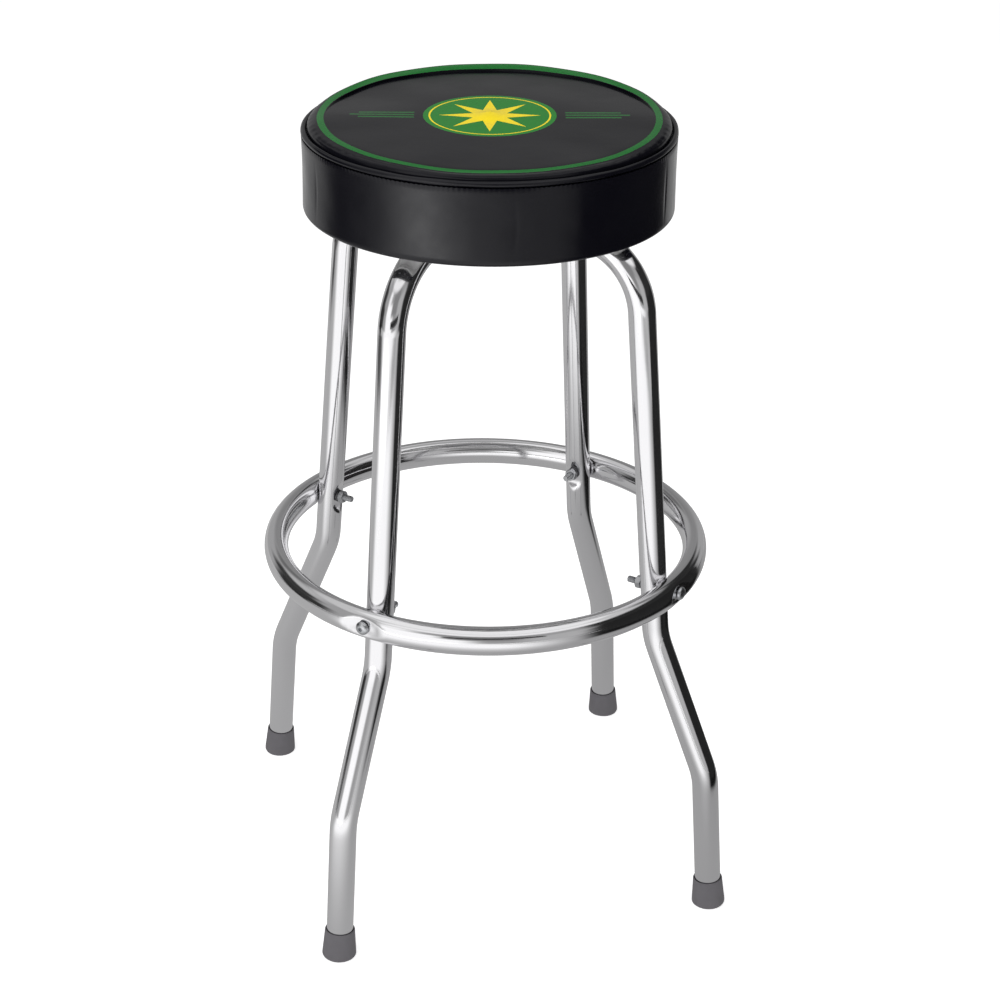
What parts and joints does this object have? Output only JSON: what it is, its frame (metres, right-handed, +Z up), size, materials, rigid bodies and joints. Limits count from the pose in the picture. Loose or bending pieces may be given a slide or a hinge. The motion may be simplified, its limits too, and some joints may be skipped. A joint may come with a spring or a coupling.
{
  "type": "swivel bar stool",
  "caption": "Round padded seat that swivels on a ball race above two crossed bent-tube leg frames, tied by a bolted foot ring, on rubber tips.",
  "frame": {"origin": "on the floor, at the middle of the circle of feet, under the swivel axis", "axes": "+Z up along the swivel axis; the legs stand on the X and Y axes, with the front left leg on -Y and the front right leg on +X"},
  "size_m": [0.5586, 0.5586, 0.7626],
  "materials": {
    "chrome_tube": "bright chrome plate on steel tube",
    "zinc_fastener": "bright zinc plate",
    "dark_spring_steel": "dark plated spring steel",
    "pressed_steel": "zinc-plated pressed sheet",
    "ball_steel": "polished bearing steel",
    "grey_rubber": "matt moulded rubber",
    "plywood": "raw plywood",
    "seat_foam": "open-cell foam",
    "black_vinyl": "gloss coated vinyl"
  },
  "bodies": {
    "base": {"leg_frame_upper": "chrome_tube", "leg_frame_lower": "chrome_tube", "foot_ring": "chrome_tube", "foot_tip_front_right": "grey_rubber", "foot_tip_back_right": "grey_rubber", "foot_tip_back_left": "grey_rubber", "foot_tip_front_left": "grey_rubber", "ring_bolt_front_right": "zinc_fastener", "ring_bolt_back_right": "zinc_fastener", "ring_bolt_back_left": "zinc_fastener", "ring_bolt_front_left": "zinc_fastener", "ring_lock_washer_front_right": "dark_spring_steel", "ring_lock_washer_back_right": "dark_spring_steel", "ring_lock_washer_back_left": "dark_spring_steel", "ring_lock_washer_front_left": "dark_spring_steel", "ring_nut_front_right": "zinc_fastener", "ring_nut_back_right": "zinc_fastener", "ring_nut_back_left": "zinc_fastener", "ring_nut_front_left": "zinc_fastener", "plate_bolt_front_right": "zinc_fastener", "plate_bolt_back_right": "zinc_fastener", "plate_bolt_back_left": "zinc_fastener", "plate_bolt_front_left": "zinc_fastener", "plate_nut_front_right": "zinc_fastener", "plate_nut_back_right": "zinc_fastener", "plate_nut_back_left": "zinc_fastener", "plate_nut_front_left": "zinc_fastener", "swivel_lower_plate": "pressed_steel"},
    "ball_race": {"ball_cage": "pressed_steel", "bearing_ball_1": "ball_steel", "bearing_ball_2": "ball_steel", "bearing_ball_3": "ball_steel", "bearing_ball_4": "ball_steel", "bearing_ball_5": "ball_steel", "bearing_ball_6": "ball_steel", "bearing_ball_7": "ball_steel", "bearing_ball_8": "ball_steel", "bearing_ball_9": "ball_steel", "bearing_ball_10": "ball_steel", "bearing_ball_11": "ball_steel", "bearing_ball_12": "ball_steel"},
    "seat": {"swivel_upper_plate": "pressed_steel", "swivel_hub": "zinc_fastener", "seat_screw_right": "zinc_fastener", "seat_screw_back": "zinc_fastener", "seat_screw_left": "zinc_fastener", "seat_screw_front": "zinc_fastener", "seat_board": "plywood", "seat_rim": "plywood", "seat_foam": "seat_foam", "seat_top_panel": "black_vinyl", "seat_side_band": "black_vinyl", "seat_welt": "black_vinyl"}
  },
  "joints": [
    {"name": "seat_swivel", "type": "hinge", "parent": "base", "child": "seat", "pos_m": [0, 0, 0.6871], "axis": [0, 0, 1], "continuous": true},
    {"name": "ball_race_roll", "type": "hinge", "parent": "base", "child": "ball_race", "pos_m": [0, 0, 0.6871], "axis": [0, 0, 1], "continuous": true}
  ],
  "couplings": [
    {"joint": "ball_race_roll", "follows": "seat_swivel", "ratio": 0.5}
  ]
}
